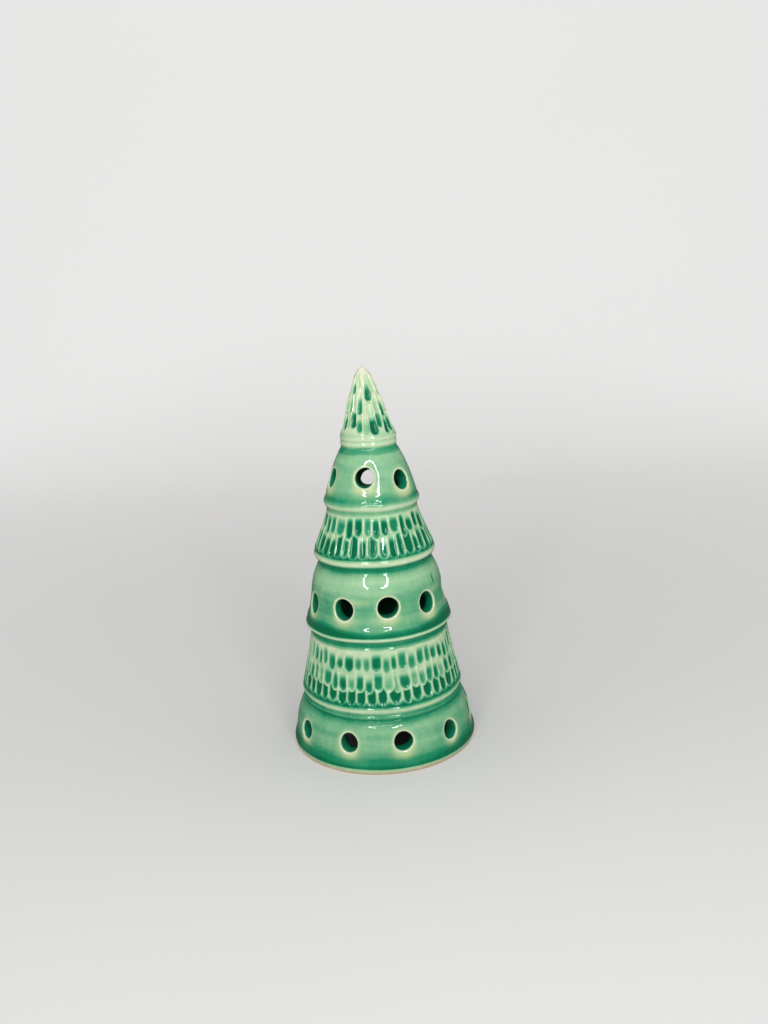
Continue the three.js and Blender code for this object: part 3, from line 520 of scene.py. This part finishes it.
def pierce(clay, skin, outer, inner, inner_z, hole):
    """Cuts one hole through both skins: a rounded rim, a straight bore and the edge inside."""
    bearing, height, tier = hole
    column = int(round(bearing / TURN * COLUMNS / 2)) * 2
    low = int(np.searchsorted(skin.z, height - BLOCK_REACH[tier]))
    inner_rows = int(round((np.searchsorted(skin.z, height + BLOCK_REACH[tier]) - low) / 2))
    block = (low, low + 2 * inner_rows, column, HOLE_COLUMNS[tier])
    loop = block_loop(outer, block)

    axis = np.array([math.sin(bearing), -math.cos(bearing), 0])
    across = np.array([math.cos(bearing), math.sin(bearing), 0])
    up = np.array([0, 0, 1])
    outside = lambda b, z: skin.sample(skin.radius, b, z)
    inside = lambda b, z: inside_radius(z)
    centre = float(skin.sample(skin.radius, np.array(bearing), np.array(height))) * axis + height * up

    bore = HOLE_RADIUS[tier]
    points = np.concatenate(clay.points)[loop]
    start = points - centre
    phi = np.arctan2(start @ up, start @ across)
    wobble = 1 + 0.025 * np.sin(2 * phi + 5 * bearing) + 0.015 * np.sin(3 * phi + 11 * bearing)
    ring = lambda rho: (rho * wobble * np.cos(phi), rho * wobble * np.sin(phi))

    # flat of the wall, from the block's edge to where the rim starts to turn in
    rim_start = on_wall(centre, across, up, axis, *ring(bore + RIM_RADIUS + 0.12), outside)
    b0, z0 = polar(points)
    b1, z1 = polar(rim_start)
    b0 = b1 + np.mod(b0 - b1 + math.pi, TURN) - math.pi
    last = loop
    steps = 7
    for k in range(1, steps + 1):
        t = k / steps
        b, z = b0 * (1 - t) + b1 * t, z0 * (1 - t) + z1 * t
        glaze, warm = skin.sample(skin.glaze, b, z), skin.sample(skin.warm, b, z)
        this = clay.add(place(b, outside(b, z), z), glaze, warm)
        clay.strip(last, this)
        last = this
    rim_glaze = skin.sample(skin.glaze, b1, z1)

    # the rim's rounding, where the glaze drew back to a thin pale line
    bore_starts, bore_glaze = 0.8, 0.8
    for t in np.linspace(0, 0.5 * math.pi, 8):
        rho = bore + RIM_RADIUS * (1 - math.sin(t))
        depth = RIM_RADIUS * (1 - math.cos(t))
        point = on_wall(centre, across, up, axis, *ring(rho), outside) - depth * axis
        pale = 0.75 if t == 0 else 1.0 - smooth_step(1.0, 1.5, t)
        beyond = rim_glaze if t < bore_starts else bore_glaze
        this = clay.add(point, beyond * (1 - pale) + 0.1 * pale, 0.12 * pale)
        clay.strip(last, this)
        last = this
    mouth = point

    # the bore, its glaze darker the deeper in and towards its top as painted shade
    throat = on_wall(centre - WALL * axis, across, up, axis, *ring(bore), inside) + INNER_RIM * axis
    for t in (0.12, 0.28, 0.46, 0.64, 0.82, 1):
        this = clay.add(mouth * (1 - t) + throat * t, 0.82 + 0.2 * t + 0.06 * np.sin(phi + 0.4))
        clay.strip(last, this)
        last = this

    # the edge inside, then the inside wall out to the coarse grid
    for t in (0.5, 1):
        rho = bore + INNER_RIM * (1 - math.cos(0.5 * math.pi * t))
        point = on_wall(centre - WALL * axis, across, up, axis, *ring(rho), inside)
        point = point + INNER_RIM * (1 - math.sin(0.5 * math.pi * t)) * axis
        this = clay.add(point, 0.95)
        clay.strip(last, this)
        last = this
    b, z = polar(on_wall(centre - WALL * axis, across, up, axis, np.zeros(1), np.zeros(1), inside))
    inner_low = int(np.searchsorted(inner_z, float(z[0]))) - (inner_rows + 1) // 2
    inner_block = (inner_low, inner_low + inner_rows, column // 2, HOLE_COLUMNS[tier] // 2)
    inner_loop = block_loop(inner, inner_block)
    far = np.concatenate(clay.points)[inner_loop]
    b1, z1 = polar(point[0::2])
    b0, z0 = polar(far)
    b0 = b1 + np.mod(b0 - b1 + math.pi, TURN) - math.pi
    b, z = b1 * 0.7 + b0 * 0.3, z1 * 0.7 + z0 * 0.3
    this = clay.add(place(b, inside_radius(z), z), 1.0)
    clay.halve(last, this)
    clay.strip(this, inner_loop)
    return block, inner_block


def grid_faces(clay, index, blocks, inward):
    """Faces of a grid of points, leaving out the blocks that holes replace."""
    keep = np.ones((index.shape[0] - 1, index.shape[1]), bool)
    for low, high, column, half_columns in blocks:
        columns = np.arange(column - half_columns, column + half_columns) % index.shape[1]
        keep[low:high, columns] = False
    right = np.roll(index, -1, 1)
    a, b, c, d = (corner[keep] for corner in (index[:-1], right[:-1], right[1:], index[1:]))
    if inward:
        a, b, c, d = b, a, d, c
    clay.quads(a, b, c, d)


def build_shell():
    """The whole tree as one closed skin, outside and inside, with its holes and its bare foot ring."""
    skin = Skin()
    clay = Clay()
    b, z = np.meshgrid(skin.bearing, skin.z)
    bare_height, bare_fade = 2.1, 1.2
    bare = np.clip((bare_height + 0.3 * swell(b, 4, (5, 9, 14)) - z) / bare_fade, 0, 1)
    outer = clay.add(place(b, skin.radius, z), skin.glaze, skin.warm, bare)

    inner_z = row_heights(((0, BAND_BASE, 2 * WALL_STEP), (BAND_BASE, CAVITY_TOP, 2 * CROWN_STEP)))
    bi, zi = np.meshgrid(skin.bearing[0::2], inner_z)
    inner = clay.add(place(bi, inside_radius(zi), zi), 1.0, 0.0, np.clip((1.5 - zi) / 1.5, 0, 1))

    blocks = [pierce(clay, skin, outer, inner, inner_z, hole) for hole in holes()]
    grid_faces(clay, outer, [block for block, _ in blocks], False)
    grid_faces(clay, inner, [block for _, block in blocks], True)

    # foot ring: a flat unglazed face between two eased edges
    ring_outside, ring_inside = 41.7, 38.2
    flat = 0 * skin.bearing
    ease = clay.add(place(skin.bearing, ring_outside + flat, flat), 0, 0, 1)
    clay.strip(ease, outer[0])
    heel = clay.add(place(skin.bearing[0::2], ring_inside + flat[0::2], flat[0::2]), 0, 0, 1)
    clay.faces.extend(np.stack([np.roll(ease[0::2], -1), ease[1::2], ease[0::2], heel, np.roll(heel, -1)],
                               -1).tolist())
    clay.strip(inner[0], heel)

    apex = clay.add(np.array([[-TIP_LEAN, 0, HEIGHT]]), 0.0)
    clay.fan(outer[-1], apex[0])
    ceiling = clay.add(np.array([[0, 0, CAVITY_TOP]]), 1.0)
    clay.fan(inner[-1][::-1], ceiling[0])

    mesh = bpy.data.meshes.new("glazed_tree")
    mesh.from_pydata((np.concatenate(clay.points) * MM).tolist(), [], clay.faces)
    tint = mesh.attributes.new("tint", "FLOAT_COLOR", "POINT")
    colours = np.ones((clay.count, 4), np.float32)
    colours[:, :3] = np.concatenate(clay.tints)
    tint.data.foreach_set("color", colours.ravel())
    mesh.polygons.foreach_set("use_smooth", np.ones(len(mesh.polygons), bool))
    mesh.validate()
    tree = bpy.data.objects.new("glazed_tree", mesh)
    bpy.context.scene.collection.objects.link(tree)
    return tree


class Nodes:
    """A short way to wire a material's nodes."""

    def __init__(self, name):
        self.material = bpy.data.materials.new(name)
        self.material.use_nodes = True
        self.tree = self.material.node_tree
        self.shader = self.tree.nodes["Principled BSDF"]

    def node(self, kind, **settings):
        made = self.tree.nodes.new(kind)
        for key, value in settings.items():
            if key in made.inputs:
                if isinstance(value, bpy.types.NodeSocket):
                    self.tree.links.new(value, made.inputs[key])
                else:
                    made.inputs[key].default_value = value
            else:
                setattr(made, key, value)
        return made

    def link(self, output, name):
        self.tree.links.new(output, self.shader.inputs[name])

    def set(self, **values):
        for key, value in values.items():
            self.shader.inputs[key.replace("_", " ")].default_value = value

    def noise(self, scale, detail=3.0, rough=0.5, stretch=(1, 1, 1)):
        spot = self.node("ShaderNodeTexCoord").outputs["Object"]
        mapping = self.node("ShaderNodeMapping", Scale=stretch)
        self.tree.links.new(spot, mapping.inputs["Vector"])
        noise = self.node("ShaderNodeTexNoise", Scale=scale, Detail=detail, Roughness=rough)
        self.tree.links.new(mapping.outputs["Vector"], noise.inputs["Vector"])
        return noise.outputs["Fac"]

    def math(self, operation, a, b, clamp=False):
        made = self.node("ShaderNodeMath", operation=operation, use_clamp=clamp)
        for socket, value in zip(made.inputs, (a, b)):
            if isinstance(value, bpy.types.NodeSocket):
                self.tree.links.new(value, socket)
            else:
                socket.default_value = value
        return made.outputs[0]

    def ramp(self, value, stops):
        made = self.node("ShaderNodeValToRGB")
        self.tree.links.new(value, made.inputs["Fac"])
        points = made.color_ramp.elements
        while len(points) < len(stops):
            points.new(0.5)
        for point, (position, colour) in zip(points, stops):
            point.position = position
            point.color = colour
        return made.outputs["Color"]

    def mix(self, factor, a, b):
        made = self.node("ShaderNodeMix", data_type="RGBA")
        for name, value in (("Factor", factor), ("A", a), ("B", b)):
            socket = next(s for s in made.inputs if s.name == name and
                          (s.type == "RGBA" if name != "Factor" else s.type == "VALUE"))
            if isinstance(value, bpy.types.NodeSocket):
                self.tree.links.new(value, socket)
            else:
                socket.default_value = value
        return next(s for s in made.outputs if s.type == "RGBA")

    def bump(self, height, strength, distance):
        made = self.node("ShaderNodeBump", Strength=strength, Distance=distance)
        self.tree.links.new(height, made.inputs["Height"])
        self.link(made.outputs["Normal"], "Normal")


def srgb(red, green, blue):
    """A colour as seen, 0 to 255, in linear light."""
    channel = lambda v: v / 12.92 if v <= 0.04045 else ((v + 0.055) / 1.055) ** 2.4
    return (channel(red / 255), channel(green / 255), channel(blue / 255), 1)


def level(value):
    """A colour that carries one number."""
    return (value, value, value, 1)


BLACK, WHITE = level(0), level(1)


def glaze_material():
    """Celadon glaze, pale where it is thin and dark where it pooled, over buff clay."""
    m = Nodes("celadon_glaze")
    tint = m.node("ShaderNodeAttribute", attribute_name="tint")
    parts = m.node("ShaderNodeSeparateColor")
    m.tree.links.new(tint.outputs["Color"], parts.inputs["Color"])
    thick, warm, bare = (parts.outputs[n] for n in ("Red", "Green", "Blue"))
    unevenness = (
        (0.26, m.noise(80, 4)),
        (0.14, m.noise(300, 3, stretch=(1, 1, 0.28))),
        (0.2, m.noise(300, 3, stretch=(0.16, 0.16, 1.5))),
        (0.1, m.noise(700, 3)),
    )
    for share, noise in unevenness:
        thick = m.math("ADD", thick, m.math("MULTIPLY", m.math("SUBTRACT", noise, 0.5), share))
    green = m.ramp(thick, [
        (0.0, srgb(234, 240, 208)),
        (0.16, srgb(206, 230, 190)),
        (0.36, srgb(160, 210, 163)),
        (0.55, srgb(112, 183, 138)),
        (0.75, srgb(34, 150, 108)),
        (1.0, srgb(0, 112, 74)),
    ])
    glow = m.math("MULTIPLY", warm, m.math("ADD", 0.45, m.noise(160, 3)), clamp=True)
    colour = m.mix(m.math("MULTIPLY", glow, 0.72), green, srgb(216, 222, 160))
    speck = m.ramp(m.noise(1500, 2, 0.6), [(0.0, WHITE), (0.27, WHITE), (0.33, BLACK)])
    colour = m.mix(m.math("MULTIPLY", speck, 0.35), colour, srgb(120, 96, 58))
    clay_tone = m.ramp(m.noise(900, 4), [(0.3, srgb(205, 184, 150)), (0.7, srgb(222, 206, 176))])
    ragged = m.math("MULTIPLY", m.math("SUBTRACT", m.noise(140, 3), 0.5), 0.5)
    edge = m.ramp(m.math("ADD", bare, ragged), [(0.35, BLACK), (0.6, WHITE)])
    colour = m.mix(edge, colour, clay_tone)
    m.link(colour, "Base Color")
    glossy, dull = 0.045, 0.75
    m.link(m.ramp(edge, [(0.0, level(glossy)), (1.0, level(dull))]), "Roughness")
    m.set(IOR=1.5)
    m.bump(m.noise(230, 2), 0.1, 0.0002)
    return m.material


def plastic(name, colour, worn, roughness, subsurface=0.0):
    """Moulded plastic with a faint grain and a slight unevenness of tone."""
    grain = 900
    m = Nodes(name)
    m.link(m.mix(m.ramp(m.noise(60, 4), [(0.35, BLACK), (0.75, WHITE)]), colour, worn), "Base Color")
    m.link(m.ramp(m.noise(grain, 3), [(0.3, level(roughness - 0.06)), (0.7, level(roughness + 0.06))]),
           "Roughness")
    m.set(Subsurface_Weight=subsurface, Subsurface_Scale=0.002)
    m.bump(m.noise(grain, 3), 0.12, 0.0001)
    return m.material


def metal(name, colour, worn, roughness):
    """Plated or stamped metal with rolling marks."""
    rolling = (1, 12, 1)
    m = Nodes(name)
    m.link(m.mix(m.noise(500, 4, 0.6), colour, worn), "Base Color")
    m.link(m.ramp(m.noise(700, 3, stretch=rolling),
                  [(0.3, level(roughness - 0.08)), (0.7, level(roughness + 0.1))]), "Roughness")
    m.set(Metallic=1.0)
    m.bump(m.noise(900, 3, stretch=rolling), 0.08, 0.00005)
    return m.material


def dress_tea_light():
    """Gives the solids of the tea light their finishes, the darkest partly painted shade; their shapes stay as
    built.
    """
    # cup, base plate and battery door are a dark plastic that also stands in as painted shade: through the
    # holes they stay as dark as the shade inside the tree
    dark_as_shade = plastic("dark_moulding_as_shade", srgb(42, 42, 44), srgb(52, 52, 54), 0.42)
    frosted = plastic("frosted_flame", srgb(247, 226, 178), srgb(242, 214, 156), 0.36, subsurface=0.4)
    resin = plastic("amber_resin", srgb(244, 205, 130), srgb(238, 192, 112), 0.12)
    grey = plastic("grey_moulding", srgb(152, 154, 156), srgb(164, 166, 168), 0.5)
    steel = metal("nickel_plate", srgb(206, 207, 208), srgb(184, 185, 186), 0.24)
    brass = metal("spring_brass", srgb(214, 178, 108), srgb(192, 150, 84), 0.3)
    finishes = {
        "light_cup": dark_as_shade, "base_plate": dark_as_shade, "battery_door": dark_as_shade, "flame_lens": frosted,
        "lamp_bulb": resin, "switch_knob": grey, "anode_lead": steel, "cathode_lead": steel,
        "coin_cell": steel, "positive_contact": brass, "negative_contact": brass, "switch_contact": brass,
        "switch_blade": brass,
    }
    for name, material in finishes.items():
        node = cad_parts[name]
        node.data.materials.clear()
        node.data.materials.append(material)


def sheet(name, line, half_width, material):
    """A smooth sheet of the stage through [y, z] points."""
    points = [(x, y, z) for y, z in line for x in (-half_width, half_width)]
    faces = [(2 * i, 2 * i + 1, 2 * i + 3, 2 * i + 2) for i in range(len(line) - 1)]
    mesh = bpy.data.meshes.new(name)
    mesh.from_pydata(points, [], faces)
    mesh.polygons.foreach_set("use_smooth", np.ones(len(faces), bool))
    mesh.materials.append(material)
    made = bpy.data.objects.new(name, mesh)
    bpy.context.scene.collection.objects.link(made)
    return made


def studio():
    """A pale floor that turns up into a backdrop, seen a little brighter than it is lit outside the tree."""
    front, middle, depth, rise, turn, half_width = -1.6, -0.4, 0.55, 1.4, 0.45, 2.2
    tree_reach, brighten, glow = 0.06, 1.2, 0.3
    m = Nodes("pale_sweep")
    m.link(m.mix(m.noise(3, 3), srgb(238, 237, 236), srgb(243, 242, 241)), "Base Color")
    m.set(Roughness=0.9, Specular_IOR_Level=0.1)
    seen = m.node("ShaderNodeLightPath").outputs["Is Camera Ray"]
    reach = m.node("ShaderNodeVectorMath", operation="LENGTH")
    m.tree.links.new(m.node("ShaderNodeTexCoord").outputs["Object"], reach.inputs[0])
    away = m.math("SUBTRACT", reach.outputs["Value"], tree_reach)
    away = m.math("MULTIPLY", away, brighten, clamp=True)
    m.link(m.math("MULTIPLY", seen, m.math("MULTIPLY", away, glow)), "Emission Strength")
    arc = [(depth + turn * math.sin(a), turn * (1 - math.cos(a))) for a in np.linspace(0, math.pi / 2, 24)]
    floor = sheet("floor", [(front, 0.0), (middle, 0.0), (depth, 0.0)], half_width, m.material)
    backdrop = sheet("backdrop", [*arc, (depth + turn, rise)], half_width, m.material)
    floor.visible_glossy = backdrop.visible_glossy = False


def soft_light():
    """Even white light from all round, weaker in reflections and brighter past the stage's edge."""
    lit, mirrored, seen = 0.52, 0.1, 0.8
    world = bpy.data.worlds.new("studio")
    bpy.context.scene.world = world
    world.use_nodes = True
    tree = world.node_tree
    paths = tree.nodes.new("ShaderNodeLightPath")
    in_glaze, to_camera = (tree.nodes.new("ShaderNodeMix") for _ in range(2))
    for choice, ray, strength in ((in_glaze, "Is Glossy Ray", mirrored), (to_camera, "Is Camera Ray", seen)):
        tree.links.new(paths.outputs[ray], choice.inputs["Factor"])
        choice.inputs[3].default_value = strength
    in_glaze.inputs[2].default_value = lit
    tree.links.new(in_glaze.outputs[0], to_camera.inputs[2])
    background = tree.nodes["Background"]
    background.inputs["Color"].default_value = (1, 1, 1, 1)
    tree.links.new(to_camera.outputs[0], background.inputs["Strength"])


def lamps():
    """A ring light over the camera, open at its foot, as the glaze shows it, made of short panels."""
    centre, wide, tall, tube = Vector((0, -0.45, 0.365)), 0.195, 0.128, 0.026
    radiance, panels = 27, 22
    turns = np.linspace(math.radians(-67), math.radians(236), panels + 1)
    corners = [centre + Vector((wide * math.cos(a), 0, tall * math.sin(a))) for a in turns]
    for n, (start, end) in enumerate(zip(corners, corners[1:])):
        along = (end - start).normalized()
        back = Vector((0, -1, 0))
        data = bpy.data.lights.new(f"ring_{n}", "AREA")
        data.shape = "RECTANGLE"
        data.size, data.size_y = (end - start).length, tube
        data.energy = radiance * math.pi * data.size * data.size_y
        lamp = bpy.data.objects.new(f"ring_{n}", data)
        bpy.context.scene.collection.objects.link(lamp)
        turn = Matrix((along, back.cross(along), back)).transposed()
        lamp.matrix_world = Matrix.Translation((start + end) / 2) @ turn.to_4x4()


def camera():
    """The photograph's viewpoint: looking a little down, rolled a little."""
    pitch, roll = math.radians(14.43), math.radians(3.19)
    spot = Vector((0.005375, -0.4472, 0.2254))
    ahead = Vector((0, math.cos(pitch), -math.sin(pitch)))
    level_up = Vector((0, math.sin(pitch), math.cos(pitch)))
    level_right = Vector((1, 0, 0))
    up = math.cos(roll) * level_up + math.sin(roll) * level_right
    right = math.cos(roll) * level_right - math.sin(roll) * level_up
    data = bpy.data.cameras.new("camera")
    sensor, focal_pixels, tall_pixels = 36.0, 1000, 1024
    data.sensor_width = sensor
    data.lens = sensor * focal_pixels / tall_pixels
    data.clip_start = 0.01
    eye = bpy.data.objects.new("camera", data)
    bpy.context.scene.collection.objects.link(eye)
    turn = Matrix((right, up, -ahead)).transposed()
    eye.matrix_world = Matrix.Translation(spot) @ turn.to_4x4()
    bpy.context.scene.camera = eye


camera()
tree = build_shell()
tree.data.materials.append(glaze_material())
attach(tree, "tree")
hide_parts("tree_shell")
dress_tea_light()
studio()
soft_light()
lamps()
bpy.context.scene.view_settings.view_transform = "Standard"
